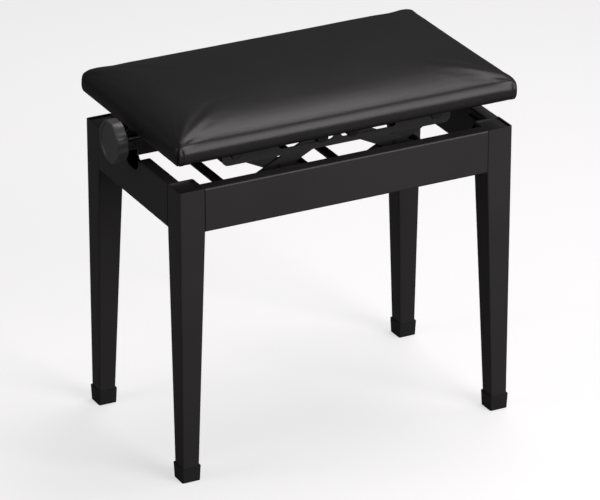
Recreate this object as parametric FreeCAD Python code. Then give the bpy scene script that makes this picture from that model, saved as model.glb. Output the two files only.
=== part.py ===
import FreeCAD, Part
import math
import os

# Height-adjustable bench: a four-legged steel frame carries a padded seat on two
# scissor lifts.  A knob turns one left-and-right-handed screw, which draws the
# lifts' upper shafts apart or together.  Millimetres, +Z up, X along the seat.
# The origin is on the floor, under the centre of the frame.

Vector = FreeCAD.Vector
os.makedirs("parts", exist_ok=True)

# ---- driving dimensions: frame -------------------------------------------------
FRAME_LENGTH = 490.0        # over the outer faces of the legs, along X
FRAME_DEPTH = 284.0         # over the outer faces of the legs, along Y
FRAME_HEIGHT = 416.0        # floor to the top of the legs and rails
LEG_TOP_WIDTH = 37.0        # square section beside the rails
LEG_FOOT_WIDTH = 24.5       # square section inside the foot cap
LEG_WALL = 1.6
LEG_FOLD_RADIUS = 0.9       # inside the folds of the leg's tube
LEG_LID_RECESS = 3.0        # lid of the leg lies this far below its top edge
LEG_LID_THICKNESS = 3.0
RAIL_HEIGHT = 61.0
RAIL_DEPTH = 18.5
RAIL_WALL = 1.5
RAIL_CORNER_RADIUS = 2.5
NOTCH_WIDTH = 38.0          # opening in the left rail for the screw
NOTCH_CORNER_RADIUS = 12.0
NOTCH_CLEARANCE = 1.0       # below the screw at its lowest

# ---- driving dimensions: foot caps ----------------------------------------------
CAP_HEIGHT = 21.5
CAP_FLOOR = 4.0
CAP_STEP = 1.8              # stands out this far from each leg face
CAP_DRAFT = 0.9             # narrowing of each side from rim to floor
CAP_CORNER_RADIUS = 2.5

# ---- driving dimensions: corner braces --------------------------------------------
BRACE_HEIGHT = 40.0
BRACE_THICKNESS = 3.0
BRACE_TAB = 22.0            # length that lies against each rail
BRACE_CORNER_GAP = 5.5      # from the leg's inner corner to the brace, along a rail
LEG_BOLT_RADIUS = 4.0
LEG_BOLT_HEAD_RADIUS = 7.0
LEG_BOLT_HEAD_HEIGHT = 5.3
LEG_BOLT_REACH = 12.0       # length inside the leg

# ---- driving dimensions: lift -----------------------------------------------------
ARM_WIDTH = 19.0
ARM_THICKNESS = 3.0
ARM_GAP = 1.0               # between the rising and the falling arm
REST_RISE = 60.0            # upper pivots over lower pivots, at rest
LOWEST_RISE = 24.0          # the same with the seat wound right down
HIGHEST_ARM_ANGLE = 54.25   # degrees, of the arms with the seat wound right up
LOWER_PIVOT_DROP = 35.0     # lower pivots below the frame's top edge
SHAFT_RADIUS = 6.0
PIN_RADIUS = 5.0            # upper outer pivots
PIN_INNER_HEAD_RADIUS = 7.0
RIVET_RADIUS = 4.0          # crossings of the arms
RIVET_WASHER_RADIUS = 7.0
RIVET_HEAD_RADIUS = 6.5
SHAFT_HEAD_RADIUS = 8.0
HEAD_THICKNESS = 2.4
RUNNING_FIT = 0.05          # radial clearance of every turning pair
SLOT_CLEARANCE = 0.3        # each side of a shaft in its slot
SIDE_CLEARANCE = 0.3        # between a moving flat face and what it passes

PLATE = 2.5                 # thickness of the pressed rails of the lift
LOWER_RAIL_OFFSET = 7.0     # lower rail plate from the frame rail's inner face
LOWER_RAIL_END_GAP = 4.0    # from the lower rail's end to the corner brace
LOWER_RAIL_PAST_PIVOT = 11.0
LOWER_RAIL_BELOW = 12.0     # lower rail below its pivots
LOWER_RAIL_ABOVE = 14.0
RAIL_SPACING = 3.5          # between lower and upper rail plates
UPPER_RAIL_PAST_PIVOT = 21.0
UPPER_RAIL_BELOW = 15.0     # upper rail below its pivots
UPPER_RAIL_ABOVE = 16.0
UPPER_RAIL_FLANGE = 25.0
UPPER_RAIL_CORNER_RADIUS = 9.0
UPPER_SLOT_SPARE = 14.0     # slot runs on past the shaft's last place
CROSS_PLATE_INSET = 6.0     # end plates from the ends of the upper rails

# ---- driving dimensions: screw and knob -------------------------------------------
SCREW_RADIUS = 5.0
SCREW_END_SPARE = 10.0      # screw past the right end plate
NUT_LENGTH = 18.0           # along the screw
NUT_HALF_WIDTH = 11.0
NUT_CORNER_RADIUS = 2.0
NUT_SOCKET = 4.0            # depth of each shaft in the nut
NUT_MEETING_GAP = 4.2       # between the nuts with the seat wound right down
BUSH_RADIUS = 8.0
BUSH_FLANGE_RADIUS = 11.0
BUSH_FLANGE = 2.0
COLLAR_RADIUS = 9.0
COLLAR_LENGTH = 6.0
KNOB_RADIUS = 29.5
KNOB_THICKNESS = 16.0
KNOB_STANDOFF = 17.0        # back of the knob from the frame's left face
KNOB_LOBES = 8
KNOB_SCALLOP_RADIUS = 20.0
KNOB_SCALLOP_DEPTH = 1.2
KNOB_RIM_WIDTH = 5.0
KNOB_RIM_HEIGHT = 1.8
KNOB_HUB_RADIUS = 12.0
KNOB_HUB_LENGTH = 6.0
KNOB_EDGE_CHAMFER = 1.2
KNOB_SCREW_COVER = 5.0      # from the knob's recessed face to the screw's end

# ---- driving dimensions: seat -------------------------------------------------------
SEAT_OVERHANG_END = 3.0     # seat past the frame, each end
SEAT_OVERHANG_SIDE = 3.0    # seat past the frame, front and rear
SEAT_THICKNESS = 39.0       # underside of the board to the crown
SEAT_CORNER_RADIUS = 10.0
SEAT_LEAST_CORNER = 2.0     # corner radius that the rolled top keeps
SEAT_EDGE_HEIGHT = 25.0     # upright part of the seat's sides
SEAT_ROLL_WIDTH = 60.0      # from the seat's outline to its flat middle
SEAT_ROLL_STEPS = 6
COVER_THICKNESS = 1.5
COVER_FOLD = 26.0           # width of cover folded under the board
SOFT_CLEARANCE = 0.3
BOARD_THICKNESS = 12.0
BOARD_INSET = 8.0           # board from the outside of the cover
SEAT_SCREW_RADIUS = 2.2
SEAT_SCREW_HEAD_RADIUS = 4.5
SEAT_SCREW_HEAD_HEIGHT = 2.4
SEAT_SCREW_GRIP = 9.0       # length inside the board
SEAT_SCREW_HEAD_EDGE = 1.0
SEAT_SCREW_TIP_SPARE = 0.5
SEAT_SCREW_SETBACK = 14.5   # from the upper rail's outer face
SEAT_SCREW_MIDDLE = 60.0    # inner screws from the bench's centre
SEAT_SCREW_END = 18.0       # outer screws from the upper rail's ends

OVERCUT = 1.0               # cutters run past the faces that they cut by this

# ---- places that follow from the sizes ---------------------------------------------
half_length = FRAME_LENGTH / 2
half_depth = FRAME_DEPTH / 2
rail_bottom = FRAME_HEIGHT - RAIL_HEIGHT
rail_inner_x = half_length - RAIL_DEPTH
rail_inner_y = half_depth - RAIL_DEPTH
leg_corner_sum = half_length + half_depth - 2 * LEG_TOP_WIDTH
brace_sum = leg_corner_sum - BRACE_CORNER_GAP
brace_standoff = BRACE_CORNER_GAP / math.sqrt(2)
brace_end_x = brace_sum - rail_inner_y - BRACE_TAB
lower_rail_half_length = brace_end_x - LOWER_RAIL_END_GAP
pivot_reach = lower_rail_half_length - LOWER_RAIL_PAST_PIVOT
upper_rail_half_length = pivot_reach + UPPER_RAIL_PAST_PIVOT
lower_pivot_z = FRAME_HEIGHT - LOWER_PIVOT_DROP
upper_pivot_z = lower_pivot_z + REST_RISE
seat_base_z = upper_pivot_z + UPPER_RAIL_ABOVE

# The arms turn about the outer pivots, and their inner ends slide along the rails.
inner_x_lowest = (NUT_LENGTH + NUT_MEETING_GAP) / 2
arm_length = math.hypot(pivot_reach - inner_x_lowest, LOWEST_RISE)
inner_x_highest = pivot_reach - arm_length * math.cos(math.radians(HIGHEST_ARM_ANGLE))
inner_x = pivot_reach - math.sqrt(arm_length ** 2 - REST_RISE ** 2)
crossing_x = (pivot_reach + inner_x) / 2
crossing_z = (lower_pivot_z + upper_pivot_z) / 2
slot_half_height = SHAFT_RADIUS + SLOT_CLEARANCE

# Layers across the depth, as distances from the centre plane, outermost first.
lower_rail_y = rail_inner_y - LOWER_RAIL_OFFSET
upper_rail_y = lower_rail_y - PLATE - RAIL_SPACING
rising_arm_y = upper_rail_y - PLATE - SIDE_CLEARANCE
falling_arm_y = rising_arm_y - ARM_THICKNESS - ARM_GAP
upper_rail_inner_y = upper_rail_y - PLATE


# ---- shape helpers -----------------------------------------------------------------
def box(x0, x1, y0, y1, z0, z1):
    """Box between two opposite corners."""
    return Part.makeBox(x1 - x0, y1 - y0, z1 - z0, Vector(x0, y0, z0))


def fuse(pieces):
    """One solid from touching pieces."""
    first = pieces[0]
    return first.fuse(pieces[1:]).removeSplitter()


def mirror_x(shape):
    return shape.mirror(Vector(0, 0, 0), Vector(1, 0, 0))


def mirror_y(shape):
    return shape.mirror(Vector(0, 0, 0), Vector(0, 1, 0))


def rod_y(x, z, radius, y0, y1):
    """Round bar across the depth."""
    return Part.makeCylinder(radius, y1 - y0, Vector(x, y0, z), Vector(0, 1, 0))


def rod_x(y, z, radius, x0, x1):
    """Round bar along the length."""
    return Part.makeCylinder(radius, x1 - x0, Vector(x0, y, z), Vector(1, 0, 0))


def rounded_rectangle(x0, x1, y0, y1, z, radius):
    """Closed level outline of a rectangle with rounded corners."""
    turn = radius * (1 - math.sqrt(0.5))
    corners = [
        (Vector(x1 - radius, y0, z), Vector(x1 - turn, y0 + turn, z), Vector(x1, y0 + radius, z)),
        (Vector(x1, y1 - radius, z), Vector(x1 - turn, y1 - turn, z), Vector(x1 - radius, y1, z)),
        (Vector(x0 + radius, y1, z), Vector(x0 + turn, y1 - turn, z), Vector(x0, y1 - radius, z)),
        (Vector(x0, y0 + radius, z), Vector(x0 + turn, y0 + turn, z), Vector(x0 + radius, y0, z)),
    ]
    edges = []
    start = corners[-1][2]
    for first, middle, last in corners:
        edges.append(Part.LineSegment(start, first).toShape())
        edges.append(Part.Arc(first, middle, last).toShape())
        start = last
    return Part.Wire(edges)


def loft(outlines):
    """Straight-sided solid through a stack of outlines."""
    return Part.makeLoft(outlines, True, True)


def long_edges(shape, direction):
    """Straight edges of a shape that run along one axis."""
    found = []
    for edge in shape.Edges:
        line = edge.Vertexes[-1].Point - edge.Vertexes[0].Point
        if line.Length > 0 and abs(line.normalize().dot(direction)) > 0.999:
            found.append(edge)
    return found


def export(name, shape):
    """Write one sub-part, or a group of like loose pieces."""
    shape.exportStep("parts/" + name + ".step")


# ---- legs and foot caps: outer faces upright, inner faces tapered ---------------------
def leg_outline(width, z, inset):
    """Section of the front left leg, flush with the frame's outer faces."""
    radius = LEG_FOLD_RADIUS + LEG_WALL - inset
    return rounded_rectangle(inset - half_length, width - inset - half_length,
                             inset - half_depth, width - inset - half_depth, z, radius)


def leg_solid(inset, z_low, z_high):
    """The leg's outer form, or its inner space when inset by the wall."""
    straight = loft([leg_outline(LEG_FOOT_WIDTH, z_low, inset),
                     leg_outline(LEG_FOOT_WIDTH, CAP_HEIGHT, inset)])
    tapered = loft([leg_outline(LEG_FOOT_WIDTH, CAP_HEIGHT, inset),
                    leg_outline(LEG_TOP_WIDTH, rail_bottom, inset)])
    square = loft([leg_outline(LEG_TOP_WIDTH, rail_bottom, inset),
                   leg_outline(LEG_TOP_WIDTH, z_high, inset)])
    return fuse([straight, tapered, square])


def make_leg():
    """Front left leg: a folded steel tube with a welded lid and a bolt hole."""
    outside = leg_solid(0, CAP_FLOOR, FRAME_HEIGHT)
    lid_top = FRAME_HEIGHT - LEG_LID_RECESS
    inside = leg_solid(LEG_WALL, CAP_FLOOR, lid_top - LEG_LID_THICKNESS)
    recess = loft([leg_outline(LEG_TOP_WIDTH, lid_top, LEG_WALL),
                   leg_outline(LEG_TOP_WIDTH, FRAME_HEIGHT + OVERCUT, LEG_WALL)])
    return outside.cut(inside).cut(recess).cut(bolt_shank())


def cap_outline(draft, z):
    """Outside of the front left foot cap at one height."""
    low = CAP_STEP - draft
    high = LEG_FOOT_WIDTH + CAP_STEP - draft
    return rounded_rectangle(-half_length - low, -half_length + high,
                             -half_depth - low, -half_depth + high, z, CAP_CORNER_RADIUS)


def make_foot_cap():
    """Push-on plastic cap of the front left leg."""
    body = loft([cap_outline(CAP_DRAFT, 0), cap_outline(0, CAP_HEIGHT)])
    pocket = loft([leg_outline(LEG_FOOT_WIDTH, CAP_FLOOR, 0),
                   leg_outline(LEG_FOOT_WIDTH, CAP_HEIGHT + OVERCUT, 0)])
    return body.cut(pocket)


# ---- corner braces and their bolts ----------------------------------------------------
bolt_z = rail_bottom + RAIL_HEIGHT / 2
diagonal = Vector(-1, -1, 0).normalize()
leg_corner = Vector(LEG_TOP_WIDTH - half_length, LEG_TOP_WIDTH - half_depth, bolt_z)


def bolt_shank():
    """Bolt along the corner's diagonal, from the brace into the leg."""
    back = LEG_BOLT_HEAD_HEIGHT + BRACE_THICKNESS + brace_standoff
    start = leg_corner - diagonal * back
    return Part.makeCylinder(LEG_BOLT_RADIUS, back + LEG_BOLT_REACH, start, diagonal)


def make_corner_brace():
    """Bent strip across the front left corner, with a tab on each rail."""
    thick = BRACE_THICKNESS
    slant = thick * math.tan(math.radians(22.5))
    touch_x = rail_inner_y - brace_sum
    touch_y = rail_inner_x - brace_sum
    outline = [
        (touch_x + BRACE_TAB, -rail_inner_y),
        (touch_x, -rail_inner_y),
        (-rail_inner_x, touch_y),
        (-rail_inner_x, touch_y + BRACE_TAB),
        (-rail_inner_x + thick, touch_y + BRACE_TAB),
        (-rail_inner_x + thick, touch_y + slant),
        (touch_x + slant, -rail_inner_y + thick),
        (touch_x + BRACE_TAB, -rail_inner_y + thick),
    ]
    low = bolt_z - BRACE_HEIGHT / 2
    points = [Vector(x, y, low) for x, y in outline]
    face = Part.Face(Part.makePolygon(points + points[:1]))
    return face.extrude(Vector(0, 0, BRACE_HEIGHT)).cut(bolt_shank())


def make_leg_bolt():
    """Hexagon bolt that clamps the front left leg to its brace."""
    seat_face = leg_corner - diagonal * (brace_standoff + BRACE_THICKNESS)
    points = []
    for step in range(6):
        angle = math.radians(60 * step)
        across = diagonal.cross(Vector(0, 0, 1)) * (LEG_BOLT_HEAD_RADIUS * math.cos(angle))
        points.append(seat_face + across + Vector(0, 0, LEG_BOLT_HEAD_RADIUS * math.sin(angle)))
    head = Part.Face(Part.makePolygon(points + points[:1])).extrude(-diagonal * LEG_BOLT_HEAD_HEIGHT)
    shank = Part.makeCylinder(LEG_BOLT_RADIUS, BRACE_THICKNESS + brace_standoff + LEG_BOLT_REACH,
                              seat_face, diagonal)
    return fuse([head, shank])


def export_corners(name, shape):
    """Write the front left piece and its three mirror images."""
    export(name + "_front_left", shape)
    export(name + "_front_right", mirror_x(shape))
    export(name + "_rear_left", mirror_y(shape))
    export(name + "_rear_right", mirror_x(mirror_y(shape)))


export_corners("leg", make_leg())
export_corners("foot_cap", make_foot_cap())
export_corners("corner_brace", make_corner_brace())

bolt = make_leg_bolt()
export("leg_bolts", Part.makeCompound([bolt, mirror_x(bolt), mirror_y(bolt),
                                       mirror_x(mirror_y(bolt))]))


# ---- frame rails: rectangular tube, butted between the legs and flush with them --------
def tube(x0, x1, y0, y1, direction):
    """Rail tube with rounded long edges and open ends."""
    solid = box(x0, x1, y0, y1, rail_bottom, FRAME_HEIGHT)
    solid = solid.makeFillet(RAIL_CORNER_RADIUS, long_edges(solid, direction))
    wall = RAIL_WALL
    space_x = wall if direction.y else 0
    space_y = wall if direction.x else 0
    space = box(x0 + space_x, x1 - space_x, y0 + space_y, y1 - space_y,
                rail_bottom + wall, FRAME_HEIGHT - wall)
    return solid.cut(space)


rail_end_x = half_length - LEG_TOP_WIDTH
rail_end_y = half_depth - LEG_TOP_WIDTH
front_rail = tube(-rail_end_x, rail_end_x, -half_depth, -rail_inner_y, Vector(1, 0, 0))
right_rail = tube(rail_inner_x, half_length, -rail_end_y, rail_end_y, Vector(0, 1, 0))

# The left rail is notched so that the screw can come down with the seat.
notch_bottom = lower_pivot_z + LOWEST_RISE - SCREW_RADIUS - NOTCH_CLEARANCE
notch = box(-half_length - OVERCUT, OVERCUT - rail_inner_x, -NOTCH_WIDTH / 2, NOTCH_WIDTH / 2,
            notch_bottom, FRAME_HEIGHT + NOTCH_CORNER_RADIUS)
notch_low_edges = [edge for edge in long_edges(notch, Vector(1, 0, 0))
                   if edge.Vertexes[0].Z < notch_bottom + OVERCUT]
notch = notch.makeFillet(NOTCH_CORNER_RADIUS, notch_low_edges)

export("front_rail", front_rail)
export("rear_rail", mirror_y(front_rail))
export("right_rail", right_rail)
export("left_rail", mirror_x(right_rail).cut(notch))


# ---- lower rails of the lift: angles welded to the frame rails' inner faces -------------
def slot(reach_near, reach_far, z, y_outer):
    """Cutter for one long round-ended slot, on the left of the front plate."""
    y0 = -y_outer - OVERCUT
    y1 = -y_outer + PLATE + OVERCUT
    middle = box(-reach_far, -reach_near, y0, y1, z - slot_half_height, z + slot_half_height)
    return fuse([middle, rod_y(-reach_far, z, slot_half_height, y0, y1),
                 rod_y(-reach_near, z, slot_half_height, y0, y1)])


def both_ends(shape):
    """A piece and its mirror image at the other end of the bench."""
    return [shape, mirror_x(shape)]


def make_lower_rail():
    """Front lower rail: upright plate with slots, and a flange to the frame rail."""
    low = lower_pivot_z - LOWER_RAIL_BELOW
    plate = box(-lower_rail_half_length, lower_rail_half_length, -lower_rail_y,
                -lower_rail_y + PLATE, low, lower_pivot_z + LOWER_RAIL_ABOVE)
    flange = box(-lower_rail_half_length, lower_rail_half_length, -rail_inner_y,
                 -lower_rail_y, low, low + PLATE)
    rail = fuse([plate, flange])
    for cutter in both_ends(slot(inner_x_lowest, inner_x_highest, lower_pivot_z, lower_rail_y)):
        rail = rail.cut(cutter)
    for side in (-1, 1):
        rail = rail.cut(rod_y(side * pivot_reach, lower_pivot_z, SHAFT_RADIUS,
                              -lower_rail_y - OVERCUT, -lower_rail_y + PLATE + OVERCUT))
    return rail


lower_rail = make_lower_rail()
export("lower_rail_front", lower_rail)
export("lower_rail_rear", mirror_y(lower_rail))


# ---- shafts of the lift: round bars with upset heads ---------------------------------------
def headed_shaft(x, z, plate_y, gap):
    """Shaft across the bench, with a head outside each rail plate."""
    head_start = plate_y + gap
    head_end = head_start + HEAD_THICKNESS
    return fuse([
        rod_y(x, z, SHAFT_RADIUS, -head_start, head_start),
        rod_y(x, z, SHAFT_HEAD_RADIUS, -head_end, -head_start),
        rod_y(x, z, SHAFT_HEAD_RADIUS, head_start, head_end),
    ])


pivot_shaft = headed_shaft(-pivot_reach, lower_pivot_z, lower_rail_y, 0)
sliding_shaft = headed_shaft(-inner_x, lower_pivot_z, lower_rail_y, SIDE_CLEARANCE)
export("left_pivot_shaft", pivot_shaft)
export("right_pivot_shaft", mirror_x(pivot_shaft))
export("left_sliding_shaft", sliding_shaft)
export("right_sliding_shaft", mirror_x(sliding_shaft))


# ---- arms of the lift: flat strips with round ends ------------------------------------------
def strip(start, end, y_outer, holes):
    """Front strip between two pivots; holes are (share of the length, radius)."""
    along = (end - start).normalize()
    across = Vector(-along.z, 0, along.x) * (ARM_WIDTH / 2)
    tip = along * (ARM_WIDTH / 2)
    edges = [
        Part.LineSegment(start + across, end + across).toShape(),
        Part.Arc(end + across, end + tip, end - across).toShape(),
        Part.LineSegment(end - across, start - across).toShape(),
        Part.Arc(start - across, start - tip, start + across).toShape(),
    ]
    face = Part.Face(Part.Wire(edges))
    face.translate(Vector(0, -y_outer, 0))
    arm = face.extrude(Vector(0, ARM_THICKNESS, 0))
    for share, radius in holes:
        centre = start + (end - start) * share
        arm = arm.cut(rod_y(centre.x, centre.z, radius, -y_outer - OVERCUT,
                            -y_outer + ARM_THICKNESS + OVERCUT))
    return arm


lower_outer = Vector(-pivot_reach, 0, lower_pivot_z)
upper_outer = Vector(-pivot_reach, 0, upper_pivot_z)
lower_inner = Vector(-inner_x, 0, lower_pivot_z)
upper_inner = Vector(-inner_x, 0, upper_pivot_z)
rising_arm = strip(lower_outer, upper_inner, rising_arm_y, [
    (0.0, SHAFT_RADIUS + RUNNING_FIT), (0.5, RIVET_RADIUS), (1.0, SHAFT_RADIUS + RUNNING_FIT)])
falling_arm = strip(upper_outer, lower_inner, falling_arm_y, [
    (0.0, PIN_RADIUS + RUNNING_FIT), (0.5, RIVET_RADIUS + RUNNING_FIT), (1.0, SHAFT_RADIUS)])


def make_centre_rivets():
    """Rivets, flush outside, on which the left falling arms turn, front and rear."""
    washer_start = rising_arm_y - ARM_THICKNESS
    head_start = falling_arm_y - ARM_THICKNESS - SIDE_CLEARANCE
    rivet = fuse([
        rod_y(-crossing_x, crossing_z, RIVET_RADIUS, -rising_arm_y, -head_start),
        rod_y(-crossing_x, crossing_z, RIVET_WASHER_RADIUS, -washer_start,
              -falling_arm_y - SIDE_CLEARANCE),
        rod_y(-crossing_x, crossing_z, RIVET_HEAD_RADIUS, -head_start,
              -head_start + HEAD_THICKNESS),
    ])
    return Part.makeCompound([rivet, mirror_y(rivet)])


centre_rivets = make_centre_rivets()
for side, place in (("left", lambda shape: shape), ("right", mirror_x)):
    export(side + "_rising_arm_front", place(rising_arm))
    export(side + "_rising_arm_rear", place(mirror_y(rising_arm)))
    export(side + "_falling_arm_front", place(falling_arm))
    export(side + "_falling_arm_rear", place(mirror_y(falling_arm)))
    export(side + "_centre_rivets", place(centre_rivets))


# ---- upper carriage: two slotted angles, two end plates and their pins ----------------------
def make_upper_rail():
    """Front upper rail: upright plate with round lower corners and a top flange."""
    low = upper_pivot_z - UPPER_RAIL_BELOW
    half = upper_rail_half_length
    plate = box(-half, half, -upper_rail_y, -upper_rail_inner_y, low, seat_base_z)
    low_edges = [edge for edge in long_edges(plate, Vector(0, 1, 0))
                 if edge.Vertexes[0].Z < low + OVERCUT]
    plate = plate.makeFillet(UPPER_RAIL_CORNER_RADIUS, low_edges)
    flange = box(-half, half, -upper_rail_inner_y, UPPER_RAIL_FLANGE - upper_rail_y,
                 seat_base_z - PLATE, seat_base_z)
    rail = fuse([plate, flange])
    far = inner_x_highest + UPPER_SLOT_SPARE
    for cutter in both_ends(slot(inner_x_lowest, far, upper_pivot_z, upper_rail_y)):
        rail = rail.cut(cutter)
    for side in (-1, 1):
        rail = rail.cut(rod_y(side * pivot_reach, upper_pivot_z, PIN_RADIUS,
                              -upper_rail_y - OVERCUT, -upper_rail_inner_y + OVERCUT))
        for place in seat_screw_places:
            rail = rail.cut(seat_screw_hole(side * place, seat_base_z - PLATE - OVERCUT,
                                            PLATE + 2 * OVERCUT))
    return rail


seat_screw_y = upper_rail_y - SEAT_SCREW_SETBACK
seat_screw_places = (SEAT_SCREW_MIDDLE, upper_rail_half_length - SEAT_SCREW_END)


def seat_screw_hole(x, z, depth):
    """Clearance hole for one front seat screw."""
    return Part.makeCylinder(SEAT_SCREW_RADIUS + RUNNING_FIT, depth, Vector(x, -seat_screw_y, z))


end_plate_x = upper_rail_half_length - CROSS_PLATE_INSET


def make_end_plate():
    """Left end plate: joins the upper rails, and holds the screw's bush."""
    web = box(-end_plate_x, PLATE - end_plate_x, -upper_rail_inner_y, upper_rail_inner_y,
              upper_pivot_z - UPPER_RAIL_BELOW, seat_base_z)
    flange_half = upper_rail_y - UPPER_RAIL_FLANGE
    flange = box(-upper_rail_half_length, -end_plate_x, -flange_half, flange_half,
                 seat_base_z - PLATE, seat_base_z)
    notches = [box(-end_plate_x, PLATE - end_plate_x, low, high, seat_base_z - PLATE, seat_base_z)
               for low, high in ((-upper_rail_inner_y, -flange_half),
                                 (flange_half, upper_rail_inner_y))]
    hole = rod_x(0, upper_pivot_z, BUSH_RADIUS, -end_plate_x - OVERCUT, PLATE - end_plate_x + OVERCUT)
    plate = fuse([web, flange]).cut(hole)
    for cutter in notches:
        plate = plate.cut(cutter)
    return plate


def make_carriage_pins():
    """Shouldered pins on which the falling arms' upper ends turn, front and rear."""
    pin_end = falling_arm_y - ARM_THICKNESS - SIDE_CLEARANCE
    pins = []
    for side in (-1, 1):
        x = side * pivot_reach
        pin = fuse([
            rod_y(x, upper_pivot_z, PIN_RADIUS, -upper_rail_y, -pin_end),
            rod_y(x, upper_pivot_z, SHAFT_HEAD_RADIUS, -upper_rail_y - HEAD_THICKNESS, -upper_rail_y),
            rod_y(x, upper_pivot_z, PIN_INNER_HEAD_RADIUS, -upper_rail_inner_y,
                  -falling_arm_y - SIDE_CLEARANCE),
            rod_y(x, upper_pivot_z, PIN_INNER_HEAD_RADIUS, -pin_end, -pin_end + HEAD_THICKNESS),
        ])
        pins += [pin, mirror_y(pin)]
    return Part.makeCompound(pins)


def make_bushes():
    """Flanged bushes of the screw, one in each end plate."""
    bush = fuse([
        rod_x(0, upper_pivot_z, BUSH_RADIUS, -end_plate_x, PLATE - end_plate_x),
        rod_x(0, upper_pivot_z, BUSH_FLANGE_RADIUS, -end_plate_x - BUSH_FLANGE, -end_plate_x),
    ])
    bush = bush.cut(rod_x(0, upper_pivot_z, SCREW_RADIUS + RUNNING_FIT,
                          -end_plate_x - BUSH_FLANGE - OVERCUT, PLATE - end_plate_x + OVERCUT))
    return Part.makeCompound(both_ends(bush))


upper_rail = make_upper_rail()
end_plate = make_end_plate()
export("upper_rail_front", upper_rail)
export("upper_rail_rear", mirror_y(upper_rail))
export("left_end_plate", end_plate)
export("right_end_plate", mirror_x(end_plate))
export("carriage_pins", make_carriage_pins())
export("screw_bushes", make_bushes())


# ---- screw, travelling nuts and knob --------------------------------------------------------
knob_back_x = -half_length - KNOB_STANDOFF
knob_front_x = knob_back_x - KNOB_THICKNESS
screw_left_x = knob_front_x + KNOB_RIM_HEIGHT + KNOB_SCREW_COVER
screw_right_x = end_plate_x + SCREW_END_SPARE


def make_nut():
    """Left travelling nut: a block bored for the screw and for its two cross shafts."""
    half = NUT_LENGTH / 2
    block = box(-inner_x - half, -inner_x + half, -NUT_HALF_WIDTH, NUT_HALF_WIDTH,
                upper_pivot_z - NUT_HALF_WIDTH, upper_pivot_z + NUT_HALF_WIDTH)
    block = block.makeFillet(NUT_CORNER_RADIUS, long_edges(block, Vector(1, 0, 0)))
    block = block.cut(rod_x(0, upper_pivot_z, SCREW_RADIUS + RUNNING_FIT,
                            -inner_x - half - OVERCUT, -inner_x + half + OVERCUT))
    return block.cut(nut_stub()).cut(mirror_y(nut_stub()))


def nut_stub():
    """Front cross shaft of the left nut, headed outside the upper rail."""
    inner_end = NUT_HALF_WIDTH - NUT_SOCKET
    head_start = upper_rail_y + SIDE_CLEARANCE
    return fuse([
        rod_y(-inner_x, upper_pivot_z, SHAFT_RADIUS, -head_start, -inner_end),
        rod_y(-inner_x, upper_pivot_z, SHAFT_HEAD_RADIUS, -head_start - HEAD_THICKNESS, -head_start),
    ])


nut = make_nut()
nut_shafts = Part.makeCompound([nut_stub(), mirror_y(nut_stub())])
export("left_travelling_nut", nut)
export("right_travelling_nut", mirror_x(nut))
export("left_nut_shafts", nut_shafts)
export("right_nut_shafts", mirror_x(nut_shafts))
export("lift_screw", rod_x(0, upper_pivot_z, SCREW_RADIUS, screw_left_x, screw_right_x))


def make_collar(x0):
    """Collar that keeps the screw from sliding through its bush."""
    collar = rod_x(0, upper_pivot_z, COLLAR_RADIUS, x0, x0 + COLLAR_LENGTH)
    return collar.cut(rod_x(0, upper_pivot_z, SCREW_RADIUS, x0 - OVERCUT,
                            x0 + COLLAR_LENGTH + OVERCUT))


collar_outside = -end_plate_x - BUSH_FLANGE - SIDE_CLEARANCE - COLLAR_LENGTH
collar_inside = -end_plate_x + PLATE + SIDE_CLEARANCE
export("screw_collars", Part.makeCompound([make_collar(collar_outside), make_collar(collar_inside)]))


def make_knob():
    """Round knob with broad shallow flutes, a raised rim and a hub behind."""
    edge = KNOB_EDGE_CHAMFER
    face_x = knob_front_x + KNOB_RIM_HEIGHT
    hub_end_x = knob_back_x + KNOB_HUB_LENGTH
    half_section = [
        (face_x, 0), (face_x, KNOB_RADIUS - KNOB_RIM_WIDTH),
        (knob_front_x, KNOB_RADIUS - KNOB_RIM_WIDTH), (knob_front_x, KNOB_RADIUS - edge),
        (knob_front_x + edge, KNOB_RADIUS), (knob_back_x - edge, KNOB_RADIUS),
        (knob_back_x, KNOB_RADIUS - edge), (knob_back_x, KNOB_HUB_RADIUS),
        (hub_end_x, KNOB_HUB_RADIUS), (hub_end_x, 0), (face_x, 0),
    ]
    outline = Part.makePolygon([Vector(x, 0, upper_pivot_z + r) for x, r in half_section])
    knob = Part.Face(outline).revolve(Vector(0, 0, upper_pivot_z), Vector(1, 0, 0), 360)
    for step in range(KNOB_LOBES):
        angle = 2 * math.pi * (step + 0.5) / KNOB_LOBES
        reach = KNOB_RADIUS + KNOB_SCALLOP_RADIUS - KNOB_SCALLOP_DEPTH
        knob = knob.cut(rod_x(reach * math.cos(angle), upper_pivot_z + reach * math.sin(angle),
                              KNOB_SCALLOP_RADIUS, knob_front_x - OVERCUT, knob_back_x + OVERCUT))
    return knob.cut(rod_x(0, upper_pivot_z, SCREW_RADIUS, screw_left_x, hub_end_x + OVERCUT))


export("knob", make_knob())


# ---- seat: plywood board, foam pad and sewn cover --------------------------------------------
seat_half_length = half_length + SEAT_OVERHANG_END
seat_half_depth = half_depth + SEAT_OVERHANG_SIDE
board_half_length = seat_half_length - BOARD_INSET
board_half_depth = seat_half_depth - BOARD_INSET


def seat_outline(inset, z):
    """Level outline of the seat, drawn in by the inset."""
    radius = max(SEAT_CORNER_RADIUS - inset / 2, SEAT_LEAST_CORNER)
    return rounded_rectangle(inset - seat_half_length, seat_half_length - inset,
                             inset - seat_half_depth, seat_half_depth - inset, z, radius)


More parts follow.
